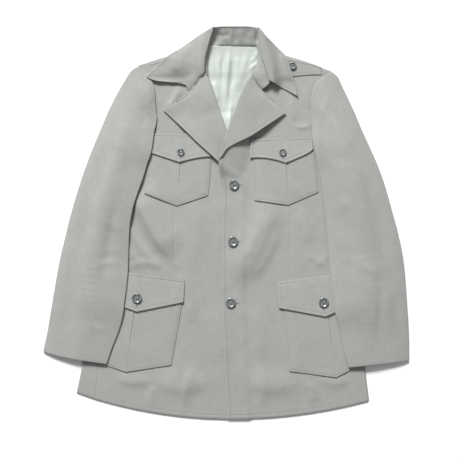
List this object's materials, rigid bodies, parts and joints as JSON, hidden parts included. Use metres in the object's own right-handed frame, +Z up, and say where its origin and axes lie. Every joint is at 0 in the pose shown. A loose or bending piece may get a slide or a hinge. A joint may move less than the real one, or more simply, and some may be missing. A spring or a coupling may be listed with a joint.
{
  "type": "military jacket",
  "caption": "Cotton twill military jacket laid flat on its back, with a wide collar, notched lapels, epaulettes, four patch pockets with flaps and a buttoned front.",
  "frame": {"origin": "centre of the bounding box on the surface that the jacket lies on", "axes": "+Y from the hem to the collar, +X towards the wearer's left sleeve, +Z up from the surface, out of the jacket's front"},
  "size_m": [0.768, 0.8245, 0.0146],
  "materials": {
    "cloth": "matt cotton twill",
    "lining": "smooth satin lining",
    "buttons": "polished"
  },
  "bodies": {
    "root": {"back": "cloth", "back_lining": "lining", "front_right": "cloth", "front_left": "cloth", "lapel_right": "cloth", "lapel_left": "cloth", "collar_leaf": "cloth", "collar_stand": "cloth", "sleeve_right": "cloth", "sleeve_left": "cloth", "chest_pocket_right": "cloth", "chest_flap_right": "cloth", "chest_pocket_left": "cloth", "chest_flap_left": "cloth", "hip_pocket_right": "cloth", "hip_flap_right": "cloth", "hip_pocket_left": "cloth", "hip_flap_left": "cloth", "epaulette_right": "cloth", "epaulette_left": "cloth", "button_front_top": "buttons", "button_front_middle": "buttons", "button_front_bottom": "buttons", "button_chest_right": "buttons", "button_chest_left": "buttons", "button_hip_right": "buttons", "button_hip_left": "buttons", "button_shoulder_right": "buttons", "button_shoulder_left": "buttons"}
  },
  "joints": []
}
